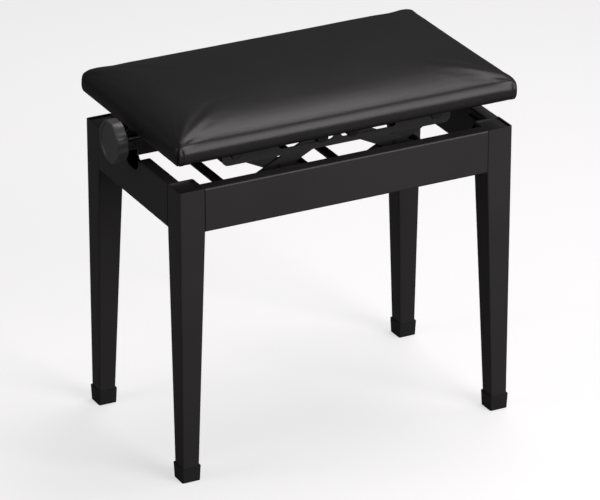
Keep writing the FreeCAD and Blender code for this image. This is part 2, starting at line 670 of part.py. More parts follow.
def seat_form(inset, z_low):
    """Upright sides that roll over into a flat middle, all drawn in by the inset."""
    edge_top = seat_base_z + SEAT_EDGE_HEIGHT - inset
    roll_height = SEAT_THICKNESS - SEAT_EDGE_HEIGHT
    outlines = [seat_outline(inset, z_low)]
    for step in range(SEAT_ROLL_STEPS + 1):
        angle = math.pi / 2 * step / SEAT_ROLL_STEPS
        drawn_in = SEAT_ROLL_WIDTH * (1 - math.cos(angle))
        outlines.append(seat_outline(inset + drawn_in, edge_top + roll_height * math.sin(angle)))
    return loft(outlines)


def board_box(grow, z_low, z_high):
    """Box of the board's outline, grown by a clearance."""
    return box(-board_half_length - grow, board_half_length + grow, -board_half_depth - grow,
               board_half_depth + grow, z_low, z_high)


board = board_box(0, seat_base_z, seat_base_z + BOARD_THICKNESS)
foam = seat_form(COVER_THICKNESS + SOFT_CLEARANCE, seat_base_z + SOFT_CLEARANCE)
foam = foam.cut(board_box(SOFT_CLEARANCE, seat_base_z - OVERCUT,
                          seat_base_z + BOARD_THICKNESS + SOFT_CLEARANCE))
cover = seat_form(0, seat_base_z - COVER_THICKNESS)
cover = cover.cut(seat_form(COVER_THICKNESS, seat_base_z))
cover = cover.cut(board_box(-COVER_FOLD, seat_base_z - COVER_THICKNESS - OVERCUT,
                            seat_base_z + OVERCUT))


def make_seat_screw(x):
    """Pan-head screw through the front upper rail into the board."""
    head_top = seat_base_z - PLATE
    centre = Vector(x, -seat_screw_y, head_top - SEAT_SCREW_HEAD_HEIGHT)
    head = Part.makeCylinder(SEAT_SCREW_HEAD_RADIUS, SEAT_SCREW_HEAD_HEIGHT, centre)
    low_edges = [edge for edge in head.Edges if edge.BoundBox.ZMax < head_top - SEAT_SCREW_HEAD_EDGE]
    head = head.makeFillet(SEAT_SCREW_HEAD_EDGE, low_edges)
    shank = Part.makeCylinder(SEAT_SCREW_RADIUS, PLATE + SEAT_SCREW_GRIP,
                              Vector(x, -seat_screw_y, head_top))
    return fuse([head, shank])


seat_screws = []
for side in (-1, 1):
    for place in seat_screw_places:
        hole = seat_screw_hole(side * place, seat_base_z, SEAT_SCREW_GRIP + SEAT_SCREW_TIP_SPARE)
        board = board.cut(hole).cut(mirror_y(hole))
        screw = make_seat_screw(side * place)
        seat_screws += [screw, mirror_y(screw)]

export("seat_board", board)
export("foam_pad", foam)
export("seat_cover", cover)
export("seat_screws", Part.makeCompound(seat_screws))
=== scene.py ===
import math

import bmesh
import bpy
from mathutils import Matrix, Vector, noise


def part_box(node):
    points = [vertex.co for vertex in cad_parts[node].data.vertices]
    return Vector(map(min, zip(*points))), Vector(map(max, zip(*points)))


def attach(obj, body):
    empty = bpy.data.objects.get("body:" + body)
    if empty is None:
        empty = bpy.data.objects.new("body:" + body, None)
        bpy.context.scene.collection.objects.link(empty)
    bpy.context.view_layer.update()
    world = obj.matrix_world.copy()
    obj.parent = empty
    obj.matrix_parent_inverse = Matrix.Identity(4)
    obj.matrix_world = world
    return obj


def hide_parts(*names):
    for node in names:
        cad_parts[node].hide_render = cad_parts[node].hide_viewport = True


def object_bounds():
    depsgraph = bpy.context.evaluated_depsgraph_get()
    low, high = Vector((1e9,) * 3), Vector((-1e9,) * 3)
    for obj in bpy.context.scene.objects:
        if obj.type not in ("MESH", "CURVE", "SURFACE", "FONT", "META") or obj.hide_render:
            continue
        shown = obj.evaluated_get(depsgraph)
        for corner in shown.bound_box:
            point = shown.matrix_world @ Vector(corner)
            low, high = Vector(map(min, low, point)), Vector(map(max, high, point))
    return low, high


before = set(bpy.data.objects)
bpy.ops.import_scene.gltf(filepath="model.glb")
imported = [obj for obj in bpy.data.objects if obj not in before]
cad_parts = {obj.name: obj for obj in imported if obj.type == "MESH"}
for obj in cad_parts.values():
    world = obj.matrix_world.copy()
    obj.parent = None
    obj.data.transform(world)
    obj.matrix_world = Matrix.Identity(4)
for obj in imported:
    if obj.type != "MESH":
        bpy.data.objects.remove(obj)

cad_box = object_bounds()


# ---- camera -----------------------------------------------------------------------
# A long lens, well back from the front left corner of the bench and above its seat,
# so that the uprights stay almost parallel.
CAMERA_HEADING = math.radians(27.353)    # from +Y towards +X
CAMERA_PITCH = math.radians(24.465)      # downwards
CAMERA_PLACE = (-2.4399, -4.7200, 2.6467)
CAMERA_LENS = 260.55

camera_data = bpy.data.cameras.new("camera")
camera_data.lens = CAMERA_LENS
camera_data.sensor_width = 36.0
camera_data.clip_end = 60.0
camera = bpy.data.objects.new("camera", camera_data)
camera.location = CAMERA_PLACE
camera.rotation_euler = (math.pi / 2 - CAMERA_PITCH, 0, -CAMERA_HEADING)
bpy.context.collection.objects.link(camera)
bpy.context.scene.camera = camera


# ---- floor and light ----------------------------------------------------------------
# A plain pale studio floor under a big softbox overhead and a lower one in front, in
# a white room.  Seen directly the room is white; what it sheds on the bench is dimmer.
FLOOR_HALF_SIZE = 9.0
ROOM_LIGHT = 0.10
LIGHT_COLOUR = (1.0, 0.955, 0.97)
bpy.context.scene.view_settings.view_transform = "Standard"
bench_middle = (Vector(cad_box[0]) + Vector(cad_box[1])) / 2


def mesh_object(name, vertices, faces, smooth=False):
    """New object at the origin from plain lists."""
    mesh = bpy.data.meshes.new(name)
    mesh.from_pydata([tuple(vertex) for vertex in vertices], [], faces)
    mesh.update()
    if smooth:
        mesh.shade_smooth()
    made = bpy.data.objects.new(name, mesh)
    bpy.context.collection.objects.link(made)
    return made


def new_material(name):
    """Empty node material with its output and a short way to add nodes."""
    material = bpy.data.materials.new(name)
    material.use_nodes = True
    material.node_tree.nodes.clear()
    return material, material.node_tree


def add_node(tree, kind, values=None, **settings):
    """Node with its settings and the values of its unlinked inputs."""
    node = tree.nodes.new(kind)
    for key, value in settings.items():
        setattr(node, key, value)
    for key, value in (values or {}).items():
        node.inputs[key].default_value = value
    return node


def make_room():
    """White to the eye, dim as a light."""
    world = bpy.data.worlds.new("room")
    world.use_nodes = True
    tree = world.node_tree
    tree.nodes.clear()
    seen = add_node(tree, "ShaderNodeBackground", {"Color": (1, 1, 1, 1), "Strength": 1.0})
    shed = add_node(tree, "ShaderNodeBackground", {"Color": (1, 1, 1, 1), "Strength": ROOM_LIGHT})
    path = add_node(tree, "ShaderNodeLightPath")
    mix = add_node(tree, "ShaderNodeMixShader")
    out = add_node(tree, "ShaderNodeOutputWorld")
    tree.links.new(path.outputs["Is Camera Ray"], mix.inputs["Fac"])
    tree.links.new(shed.outputs[0], mix.inputs[1])
    tree.links.new(seen.outputs[0], mix.inputs[2])
    tree.links.new(mix.outputs[0], out.inputs["Surface"])
    bpy.context.scene.world = world


def make_floor():
    """Level floor, bright where it is seen and duller where it is reflected."""
    half = FLOOR_HALF_SIZE
    floor = mesh_object("floor", [(-half, -half, 0), (half, -half, 0), (half, half, 0),
                                  (-half, half, 0)], [(0, 1, 2, 3)])
    material, tree = new_material("pale_floor")
    near = add_node(tree, "ShaderNodeBsdfDiffuse", {"Color": (0.62, 0.62, 0.62, 1)})
    glow = add_node(tree, "ShaderNodeEmission", {"Color": (1, 1, 1, 1), "Strength": 0.60})
    bright = add_node(tree, "ShaderNodeAddShader")
    dull = add_node(tree, "ShaderNodeBsdfDiffuse", {"Color": (0.16, 0.16, 0.16, 1)})
    path = add_node(tree, "ShaderNodeLightPath")
    mix = add_node(tree, "ShaderNodeMixShader")
    out = add_node(tree, "ShaderNodeOutputMaterial")
    tree.links.new(near.outputs[0], bright.inputs[0])
    tree.links.new(glow.outputs[0], bright.inputs[1])
    tree.links.new(path.outputs["Is Camera Ray"], mix.inputs["Fac"])
    tree.links.new(dull.outputs[0], mix.inputs[1])
    tree.links.new(bright.outputs[0], mix.inputs[2])
    tree.links.new(mix.outputs[0], out.inputs["Surface"])
    floor.data.materials.append(material)


def softbox(name, direction, distance, size, power):
    """Square area light that faces the bench from one direction."""
    data = bpy.data.lights.new(name, "AREA")
    data.shape = "RECTANGLE"
    data.size, data.size_y = size
    data.energy = power
    data.color = LIGHT_COLOUR
    light = bpy.data.objects.new(name, data)
    away = Vector(direction).normalized()
    light.location = bench_middle + away * distance
    light.rotation_euler = away.to_track_quat("Z", "Y").to_euler()
    bpy.context.collection.objects.link(light)


make_room()
make_floor()
softbox("overhead_softbox", (0.38, 0.14, 1.0), 2.4, (1.8, 1.0), 22)
softbox("front_softbox", (0.42, -0.92, 0.40), 2.6, (1.5, 1.8), 38)
softbox("left_softbox", (-1.0, 0.10, 0.45), 2.6, (1.2, 1.2), 10)


# ---- painted frame: legs, rails, corner braces and the lift's lower rails ----------------
# Folded and drawn steel tube, degreased and sprayed satin black, so that the paint lies
# in a faint orange peel; its folded edges are lighter, as paint worn thin and as painted highlight.
PEEL_SIZE = 620.0            # waves of the orange peel per metre
EDGE_WIDTH = 0.0011


def new_group(name, inputs, outputs):
    """Shader node group with float inputs and typed outputs."""
    group = bpy.data.node_groups.new(name, "ShaderNodeTree")
    for label, value in inputs:
        socket = group.interface.new_socket(label, in_out="INPUT", socket_type="NodeSocketFloat")
        socket.default_value = value
    for label, kind in outputs:
        group.interface.new_socket(label, in_out="OUTPUT", socket_type=kind)
    return group, add_node(group, "NodeGroupInput"), add_node(group, "NodeGroupOutput")


def make_grain_group():
    """Fine surface waves with slower blotches: a height and a mask."""
    group, given, result = new_group(
        "surface_grain", [("Scale", 600.0), ("Blotch Scale", 12.0)],
        [("Height", "NodeSocketFloat"), ("Blotches", "NodeSocketFloat")])
    place = add_node(group, "ShaderNodeTexCoord")
    fine = add_node(group, "ShaderNodeTexNoise", {"Detail": 3.0, "Roughness": 0.55})
    slow = add_node(group, "ShaderNodeTexNoise", {"Detail": 4.0, "Roughness": 0.6})
    for texture, scale, output in ((fine, "Scale", "Height"), (slow, "Blotch Scale", "Blotches")):
        group.links.new(place.outputs["Object"], texture.inputs["Vector"])
        group.links.new(given.outputs[scale], texture.inputs["Scale"])
        group.links.new(texture.outputs["Fac"], result.inputs[output])
    return group


def make_edge_group():
    """Mask of the edges, for wear and for painted edge highlight: where a rounded-off normal turns away
    from the true one.
    """
    group, given, result = new_group("edge_wear_and_highlight", [("Width", 0.001), ("Gain", 6.0)],
                                     [("Mask", "NodeSocketFloat")])
    place = add_node(group, "ShaderNodeTexCoord")
    patchy = add_node(group, "ShaderNodeTexNoise", {"Scale": 90.0, "Detail": 3.0})
    bevel = add_node(group, "ShaderNodeBevel", samples=4)
    true = add_node(group, "ShaderNodeNewGeometry")
    dot = add_node(group, "ShaderNodeVectorMath", operation="DOT_PRODUCT")
    turn = add_node(group, "ShaderNodeMath", {0: 1.0}, operation="SUBTRACT")
    gain = add_node(group, "ShaderNodeMath", operation="MULTIPLY")
    worn_and_lit_edge = add_node(group, "ShaderNodeMath", operation="MULTIPLY", use_clamp=True)
    group.links.new(place.outputs["Object"], patchy.inputs["Vector"])
    group.links.new(given.outputs["Width"], bevel.inputs["Radius"])
    group.links.new(bevel.outputs["Normal"], dot.inputs[0])
    group.links.new(true.outputs["Normal"], dot.inputs[1])
    group.links.new(dot.outputs["Value"], turn.inputs[1])
    group.links.new(turn.outputs[0], gain.inputs[0])
    group.links.new(given.outputs["Gain"], gain.inputs[1])
    group.links.new(gain.outputs[0], worn_and_lit_edge.inputs[0])
    group.links.new(patchy.outputs["Fac"], worn_and_lit_edge.inputs[1])
    group.links.new(worn_and_lit_edge.outputs[0], result.inputs["Mask"])
    return group


grain_group = make_grain_group()
edge_group = make_edge_group()


def place_group(tree, group, values):
    """A group's node in a material, with its own values."""
    node = add_node(tree, "ShaderNodeGroup", node_tree=group)
    for label, value in values.items():
        node.inputs[label].default_value = value
    return node


def blend_colour(tree, factor, low, high):
    """Mix of two colours by a mask."""
    mix = add_node(tree, "ShaderNodeMix", data_type="RGBA")
    mix.inputs["A"].default_value = (*low, 1)
    mix.inputs["B"].default_value = (*high, 1)
    tree.links.new(factor, mix.inputs["Factor"])
    return mix.outputs["Result"]


def spread(tree, mask, low, high):
    """Value that runs from low to high as a mask runs from 0 to 1."""
    node = add_node(tree, "ShaderNodeMapRange", {"To Min": low, "To Max": high})
    tree.links.new(mask, node.inputs["Value"])
    return node.outputs["Result"]


def bump(tree, height, distance, strength=1.0, under=None):
    """Bump normal from a height, over another bump where one is given."""
    node = add_node(tree, "ShaderNodeBump", {"Distance": distance, "Strength": strength})
    tree.links.new(height, node.inputs["Height"])
    if under is not None:
        tree.links.new(under, node.inputs["Normal"])
    return node.outputs["Normal"]


def finish_material(tree, colour, roughness, normal, **values):
    """Principled shader fed by a colour, a roughness and a normal."""
    shader = add_node(tree, "ShaderNodeBsdfPrincipled", values)
    out = add_node(tree, "ShaderNodeOutputMaterial")
    tree.links.new(colour, shader.inputs["Base Color"])
    tree.links.new(roughness, shader.inputs["Roughness"])
    tree.links.new(normal, shader.inputs["Normal"])
    tree.links.new(shader.outputs[0], out.inputs["Surface"])
    return shader


def coated_metal(name, dark, light, worn_and_lit_edge, rough, peel, metallic=0.0, scale=PEEL_SIZE):
    """Coated or plated metal: blotchy colour, edges lighter as wear and as painted highlight, and a fine
    skin.
    """
    material, tree = new_material(name)
    skin = place_group(tree, grain_group, {"Scale": scale, "Blotch Scale": 9.0})
    edge = place_group(tree, edge_group, {"Width": EDGE_WIDTH, "Gain": 5.0})
    body = blend_colour(tree, skin.outputs["Blotches"], dark, light)
    # The edges' lighter colour is partly wear and partly a painted highlight along them.
    colour = add_node(tree, "ShaderNodeMix", data_type="RGBA")
    colour.inputs["B"].default_value = (*worn_and_lit_edge, 1)
    tree.links.new(edge.outputs["Mask"], colour.inputs["Factor"])
    tree.links.new(body, colour.inputs["A"])
    roughness = spread(tree, skin.outputs["Blotches"], rough - 0.05, rough + 0.07)
    normal = bump(tree, skin.outputs["Height"], peel)
    finish_material(tree, colour.outputs["Result"], roughness, normal, Metallic=metallic)
    return material


def dress(material, *nodes):
    """Give CAD pieces a material."""
    for node in nodes:
        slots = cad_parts[node].data.materials
        slots.clear()
        slots.append(material)


CORNERS = ("front_left", "front_right", "rear_left", "rear_right")
satin_paint = coated_metal("satin_black_paint", (0.028, 0.0265, 0.0272), (0.034, 0.0325, 0.0332),
                           (0.040, 0.039, 0.040), 0.42, 0.00003)
dress(satin_paint, "front_rail", "rear_rail", "left_rail", "right_rail",
      *["leg_" + corner for corner in CORNERS])
dress(satin_paint, "lower_rail_front", "lower_rail_rear",
      *["corner_brace_" + corner for corner in CORNERS])


# ---- weld beads under the lower rails --------------------------------------------------
# Short MIG beads run along the joint between each lower rail's flange and the frame
# rail; they are painted with the frame, and every ripple is one drop of the weld.
BEAD_LENGTH = 0.026
BEAD_STEP = 0.0015
BEAD_RADIUS = 0.0019
BEAD_PLACES = (-0.135, -0.045, 0.045, 0.135)


def bead_tree():
    """Drops of weld along an object's edges, each a little different."""
    tree = bpy.data.node_groups.new("weld_bead", "GeometryNodeTree")
    tree.interface.new_socket("Geometry", in_out="INPUT", socket_type="NodeSocketGeometry")
    for label in ("Step", "Radius"):
        tree.interface.new_socket(label, in_out="INPUT", socket_type="NodeSocketFloat")
    tree.interface.new_socket("Paint", in_out="INPUT", socket_type="NodeSocketMaterial")
    tree.interface.new_socket("Geometry", in_out="OUTPUT", socket_type="NodeSocketGeometry")
    given = add_node(tree, "NodeGroupInput")
    result = add_node(tree, "NodeGroupOutput")
    line = add_node(tree, "GeometryNodeMeshToCurve")
    points = add_node(tree, "GeometryNodeResampleCurve", mode="LENGTH")
    drop = add_node(tree, "GeometryNodeMeshIcoSphere", {"Subdivisions": 2})
    vary = add_node(tree, "FunctionNodeRandomValue", {2: 0.82, 3: 1.16, "Seed": 4})
    spread_drops = add_node(tree, "GeometryNodeInstanceOnPoints")
    real = add_node(tree, "GeometryNodeRealizeInstances")
    smooth = add_node(tree, "GeometryNodeSetShadeSmooth")
    paint = add_node(tree, "GeometryNodeSetMaterial")
    link = tree.links.new
    link(given.outputs["Geometry"], line.inputs["Mesh"])
    link(line.outputs["Curve"], points.inputs["Curve"])
    link(given.outputs["Step"], points.inputs["Length"])
    link(given.outputs["Radius"], drop.inputs["Radius"])
    link(points.outputs["Curve"], spread_drops.inputs["Points"])
    link(drop.outputs["Mesh"], spread_drops.inputs["Instance"])
    link(vary.outputs[1], spread_drops.inputs["Scale"])
    link(spread_drops.outputs["Instances"], real.inputs["Geometry"])
    link(real.outputs["Geometry"], smooth.inputs["Geometry"])
    link(smooth.outputs["Geometry"], paint.inputs["Geometry"])
    link(given.outputs["Paint"], paint.inputs["Material"])
    link(paint.outputs["Geometry"], result.inputs["Geometry"])
    return tree


def set_inputs(modifier, values):
    """Set a geometry modifier's inputs by their sockets' identifiers."""
    for item in modifier.node_group.interface.items_tree:
        if item.in_out == "INPUT" and item.name in values:
            modifier[item.identifier] = values[item.name]


def apply_tree(piece, tree, values):
    """Run a geometry tree on a piece and keep its result as a plain mesh."""
    modifier = piece.modifiers.new(tree.name, "NODES")
    modifier.node_group = tree
    set_inputs(modifier, values)
    depsgraph = bpy.context.evaluated_depsgraph_get()
    mesh = bpy.data.meshes.new_from_object(piece.evaluated_get(depsgraph))
    piece.modifiers.remove(modifier)
    piece.data = mesh
    piece.data.name = piece.name


def edges_object(name, lines):
    """Object of loose edges, one for each pair of points."""
    mesh = bpy.data.meshes.new(name)
    points = [tuple(point) for pair in lines for point in pair]
    mesh.from_pydata(points, [(2 * i, 2 * i + 1) for i in range(len(lines))], [])
    made = bpy.data.objects.new(name, mesh)
    bpy.context.collection.objects.link(made)
    return made


bead_lines = []
for rail in ("lower_rail_front", "lower_rail_rear"):
    low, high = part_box(rail)
    outer_y = low.y if rail.endswith("front") else high.y
    for middle in BEAD_PLACES:
        bead_lines.append((Vector((middle - BEAD_LENGTH / 2, outer_y, low.z)),
                           Vector((middle + BEAD_LENGTH / 2, outer_y, low.z))))
weld_beads = edges_object("weld_beads", bead_lines)
apply_tree(weld_beads, bead_tree(), {"Step": BEAD_STEP, "Radius": BEAD_RADIUS, "Paint": satin_paint})
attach(weld_beads, "frame")


# ---- leg bolts and foot caps ------------------------------------------------------------
# Hexagon bolts plated with black zinc hold the legs.  The push-on foot caps are moulded
# in black polypropylene with a fine spark-eroded grain.
black_zinc = coated_metal("black_zinc", (0.030, 0.030, 0.032), (0.046, 0.046, 0.050),
                          (0.12, 0.12, 0.125), 0.36, 0.000012, metallic=0.75, scale=1500.0)
dress(black_zinc, "leg_bolts")


def moulded_plastic(name, dark, light, rough, grain, depth):
    """Moulded plastic: even colour, fine eroded grain, faint flow marks."""
    material, tree = new_material(name)
    skin = place_group(tree, grain_group, {"Scale": grain, "Blotch Scale": 22.0})
    edge = place_group(tree, edge_group, {"Width": 0.0007, "Gain": 3.0})
    place = add_node(tree, "ShaderNodeTexCoord")
    pits = add_node(tree, "ShaderNodeTexVoronoi", {"Scale": grain * 0.8}, feature="SMOOTH_F1")
    tree.links.new(place.outputs["Object"], pits.inputs["Vector"])
    colour = blend_colour(tree, skin.outputs["Blotches"], dark, light)
    rubbed = spread(tree, edge.outputs["Mask"], 0.0, 0.10)
    blotchy = spread(tree, skin.outputs["Blotches"], rough - 0.04, rough + 0.06)
    roughness = add_node(tree, "ShaderNodeMath", operation="SUBTRACT")
    tree.links.new(blotchy, roughness.inputs[0])
    tree.links.new(rubbed, roughness.inputs[1])
    pitted = bump(tree, pits.outputs["Distance"], depth)
    normal = bump(tree, skin.outputs["Height"], depth, under=pitted)
    finish_material(tree, colour, roughness.outputs[0], normal)
    return material


cap_plastic = moulded_plastic("cap_plastic", (0.016, 0.016, 0.016), (0.021, 0.021, 0.022),
                              0.50, 1700.0, 0.00004)
dress(cap_plastic, *["foot_cap_" + corner for corner in CORNERS])


# ---- lift: arms, rivets, shafts and the upper rails -----------------------------------------
# Blanked steel strips and pressed angles in the frame's paint, laid on thinner; the
# shafts are drawn bar, chemically blackened, and their heads are upset cold.
lift_paint = coated_metal("lift_black_paint", (0.016, 0.016, 0.016), (0.021, 0.020, 0.021),
                          (0.045, 0.045, 0.046), 0.40, 0.00002)
black_oxide = coated_metal("black_oxide", (0.012, 0.012, 0.013), (0.022, 0.022, 0.023),
                           (0.07, 0.07, 0.072), 0.38, 0.000008, metallic=0.6, scale=2400.0)
SIDES = ("left", "right")
dress(lift_paint, "upper_rail_front", "upper_rail_rear", "left_end_plate", "right_end_plate",
      *[f"{side}_{arm}_arm_{row}" for side in SIDES for arm in ("rising", "falling")
        for row in ("front", "rear")])
dress(black_oxide, *[f"{side}_{shaft}" for side in SIDES
                     for shaft in ("pivot_shaft", "sliding_shaft", "nut_shafts")])
dress(black_zinc, "left_centre_rivets", "right_centre_rivets", "carriage_pins", "seat_screws",
      "screw_collars", "left_travelling_nut", "right_travelling_nut")

bush_nylon = moulded_plastic("bush_nylon", (0.030, 0.030, 0.029), (0.038, 0.038, 0.036),
                             0.45, 1400.0, 0.00002)
dress(bush_nylon, "screw_bushes")


# ---- lift screw ------------------------------------------------------------------------
# A bar with a rolled trapezoid thread, left-handed on one half and right-handed on the
# other, plain in the middle, in its bushes and where the knob is pressed on.
SCREW_LEAD = 0.0094
SCREW_STARTS = 3
THREAD_DEPTH = 0.0009
THREAD_RING_STEP = 0.00055
THREAD_SIDES = 24
THREAD_PLAIN_MIDDLE = 0.006
THREAD_END_GAP = 0.010       # plain bar beside each end plate
THREAD_FADE = 0.002
PLAIN_RING_STEP = 0.02
SCREW_CHAMFER = 0.0008


def ramp(value, low, high):
    """Smooth step from 0 to 1."""
    share = min(max((value - low) / (high - low), 0.0), 1.0)
    return share * share * (3 - 2 * share)


def lathe(name, rings, radius_at, sides, axis_y, axis_z):
    """Closed turned body along X: rings are (x, radius), shaped round the axis."""
    vertices = []
    for x, radius in rings:
        for step in range(sides):
            angle = 2 * math.pi * step / sides
            reach = radius_at(x, radius, angle)
            vertices.append((x, axis_y + reach * math.cos(angle), axis_z + reach * math.sin(angle)))
    faces = []
    for ring in range(len(rings) - 1):
        for step in range(sides):
            here = ring * sides + step
            next_here = ring * sides + (step + 1) % sides
            faces.append((here, here + sides, next_here + sides, next_here))
    last = (len(rings) - 1) * sides
    for start, turn in ((0, 1), (last, -1)):
        centre = len(vertices)
        x = rings[0][0] if start == 0 else rings[-1][0]
        vertices.append((x, axis_y, axis_z))
        for step in range(sides):
            pair = (start + step, start + (step + 1) % sides)
            faces.append((centre, *pair[::turn]))
    made = mesh_object(name, vertices, faces, smooth=True)
    closed = bmesh.new()
    closed.from_mesh(made.data)
    bmesh.ops.recalc_face_normals(closed, faces=closed.faces)
    closed.to_mesh(made.data)
    closed.free()
    return made


def make_screw():
    """The bar's rings are close together on the threads and far apart elsewhere."""
    low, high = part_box("lift_screw")
    radius = (high.z - low.z) / 2
    axis_z = (high.z + low.z) / 2
    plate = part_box("right_end_plate")[0].x
    thread_end = plate - THREAD_END_GAP
    places = [low.x, low.x + SCREW_CHAMFER]
    x = places[-1]
    while x < high.x - SCREW_CHAMFER - PLAIN_RING_STEP:
        threaded = abs(x) < thread_end + THREAD_RING_STEP
        x += THREAD_RING_STEP if threaded else min(PLAIN_RING_STEP, max(-thread_end - x, THREAD_RING_STEP))
        places.append(x)
    places += [high.x - SCREW_CHAMFER, high.x]
    rings = [(x, radius) for x in places]
    rings[0] = (rings[0][0], radius - SCREW_CHAMFER)
    rings[-1] = (rings[-1][0], radius - SCREW_CHAMFER)

    def thread_at(x, ring_radius, angle):
        hand = -1 if x < 0 else 1
        phase = SCREW_STARTS * (x / SCREW_LEAD * 2 * math.pi - hand * angle)
        flank = min(max(0.5 + 0.9 * math.cos(phase), 0.0), 1.0)
        cut = ramp(abs(x), THREAD_PLAIN_MIDDLE, THREAD_PLAIN_MIDDLE + THREAD_FADE)
        cut *= 1 - ramp(abs(x), thread_end - THREAD_FADE, thread_end)
        return ring_radius - THREAD_DEPTH * flank * cut

    return lathe("screw_bar", rings, thread_at, THREAD_SIDES, 0.0, axis_z)


screw_bar = make_screw()
screw_bar.data.materials.append(black_zinc)
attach(screw_bar, "screw_and_knob")
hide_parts("lift_screw")


# ---- knob ---------------------------------------------------------------------------------
# Moulded in grey plastic with eight broad shallow flutes for the fingers, a raised rim
# round its dished face, and a hub behind that is pressed on the end of the screw.
KNOB_SIDES = 160
KNOB_LOBES = 8
KNOB_FLUTE_DEPTH = 0.0013
KNOB_RIM_WIDTH = 0.0056
KNOB_RIM_HEIGHT = 0.0018
KNOB_EDGE = 0.0018
KNOB_HUB_RADIUS = 0.012
KNOB_HUB_LENGTH = 0.006
KNOB_BORE_RADIUS = 0.00505
KNOB_BORE_DEPTH = 0.015
KNOB_BORE_CHAMFER = 0.0005
KNOB_HUB_ROUND = 0.001
KNOB_HUB_FILLET = 0.0008
KNOB_DISH_DEPTH = 0.0009
KNOB_DISH_RINGS = 9
KNOB_DISH_INSET = 0.0004
KNOB_FLUTE_POWER = 1.6       # a higher one makes narrower flutes
KNOB_FLUTE_START = 0.98      # of the dish's radius
FILLET_STEPS = 5


def make_knob():
    """Turned form whose rim is drawn in at the flutes."""
    low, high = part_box("knob")
    radius = (high.z - low.z) / 2
    axis_z = (high.z + low.z) / 2
    front = low.x
    back = high.x - KNOB_HUB_LENGTH
    edge = KNOB_EDGE
    bore_end = high.x - KNOB_BORE_DEPTH
    rings = [(bore_end, KNOB_BORE_RADIUS * 0.5), (bore_end, KNOB_BORE_RADIUS),
             (high.x - KNOB_BORE_CHAMFER, KNOB_BORE_RADIUS),
             (high.x, KNOB_BORE_RADIUS + KNOB_BORE_CHAMFER),
             (high.x, KNOB_HUB_RADIUS - KNOB_HUB_ROUND),
             (high.x - KNOB_HUB_ROUND * 0.3, KNOB_HUB_RADIUS - KNOB_HUB_ROUND * 0.3),
             (high.x - KNOB_HUB_ROUND, KNOB_HUB_RADIUS), (back + KNOB_HUB_FILLET, KNOB_HUB_RADIUS),
             (back + KNOB_HUB_FILLET / 4, KNOB_HUB_RADIUS + KNOB_HUB_FILLET / 4),
             (back, KNOB_HUB_RADIUS + KNOB_HUB_FILLET)]
    for step in range(FILLET_STEPS + 1):
        turn = math.pi / 2 * step / FILLET_STEPS
        rings.append((back - edge + edge * math.cos(turn), radius - edge + edge * math.sin(turn)))
    for step in range(FILLET_STEPS + 1):
        turn = math.pi / 2 * step / FILLET_STEPS
        rings.append((front + edge - edge * math.sin(turn), radius - edge + edge * math.cos(turn)))
    rim = radius - edge
    inner = radius - KNOB_RIM_WIDTH
    floor = front + KNOB_RIM_HEIGHT
    for step in range(1, FILLET_STEPS * 2):
        turn = math.pi / 2 * step / (FILLET_STEPS * 2)
        rings.append((front + KNOB_RIM_HEIGHT * (1 - math.cos(turn)), rim - (rim - inner) * math.sin(turn)))
    rings.append((floor, inner - KNOB_DISH_INSET))
    for step in range(1, KNOB_DISH_RINGS):
        share = step / KNOB_DISH_RINGS
        dish = KNOB_DISH_DEPTH * (1 - math.cos(math.pi * share)) / 2
        rings.append((floor + dish, inner * (1 - share)))

    def flute_at(x, ring_radius, angle):
        lobe = (0.5 + 0.5 * math.cos(KNOB_LOBES * angle)) ** KNOB_FLUTE_POWER
        depth = KNOB_FLUTE_DEPTH * ramp(ring_radius, inner * KNOB_FLUTE_START, rim)
        return ring_radius - depth * lobe

    return lathe("knob_body", rings, flute_at, KNOB_SIDES, 0.0, axis_z)


knob_plastic = moulded_plastic("knob_plastic", (0.074, 0.075, 0.077), (0.090, 0.091, 0.093),
                               0.34, 1100.0, 0.00002)
knob_body = make_knob()
knob_body.data.materials.append(knob_plastic)
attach(knob_body, "screw_and_knob")
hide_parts("knob")


# ---- seat board ------------------------------------------------------------------------------
# Nine-ply board, rotary-cut and left bare underneath: long pale grain on its face and
# glued layers on its edge.
def make_plywood():
    """Streaked veneer with glue lines through the thickness."""
    material, tree = new_material("plywood")
    low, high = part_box("seat_board")
    place = add_node(tree, "ShaderNodeTexCoord")
    stretch = add_node(tree, "ShaderNodeMapping", {"Scale": (6.0, 95.0, 40.0)})
    streaks = add_node(tree, "ShaderNodeTexNoise", {"Scale": 1.0, "Detail": 6.0, "Distortion": 0.6})
    pores = add_node(tree, "ShaderNodeMapping", {"Scale": (90.0, 1400.0, 600.0)})
    pits = add_node(tree, "ShaderNodeTexNoise", {"Scale": 1.0, "Detail": 2.0})
    split = add_node(tree, "ShaderNodeSeparateXYZ")
    ply = add_node(tree, "ShaderNodeMath", {1: 2 * math.pi * 4.5 / (high.z - low.z)},
                   operation="MULTIPLY")
    wave = add_node(tree, "ShaderNodeMath", operation="SINE")
    layers = spread(tree, wave.outputs[0], 0.75, 1.0)
    link = tree.links.new
    link(place.outputs["Object"], stretch.inputs["Vector"])
    link(stretch.outputs[0], streaks.inputs["Vector"])
    link(place.outputs["Object"], pores.inputs["Vector"])
    link(pores.outputs[0], pits.inputs["Vector"])
    link(place.outputs["Object"], split.inputs[0])
    link(split.outputs["Z"], ply.inputs[0])
    link(ply.outputs[0], wave.inputs[0])
    veneer = blend_colour(tree, streaks.outputs["Fac"], (0.36, 0.22, 0.12), (0.56, 0.39, 0.24))
    shade = add_node(tree, "ShaderNodeMix", data_type="RGBA", blend_type="MULTIPLY")
    shade.inputs["Factor"].default_value = 1.0
    link(veneer, shade.inputs["A"])
    link(layers, shade.inputs["B"])
    roughness = spread(tree, pits.outputs["Fac"], 0.62, 0.82)
    finish_material(tree, shade.outputs["Result"], roughness, bump(tree, pits.outputs["Fac"], 0.00012))
    return material


dress(make_plywood(), "seat_board")


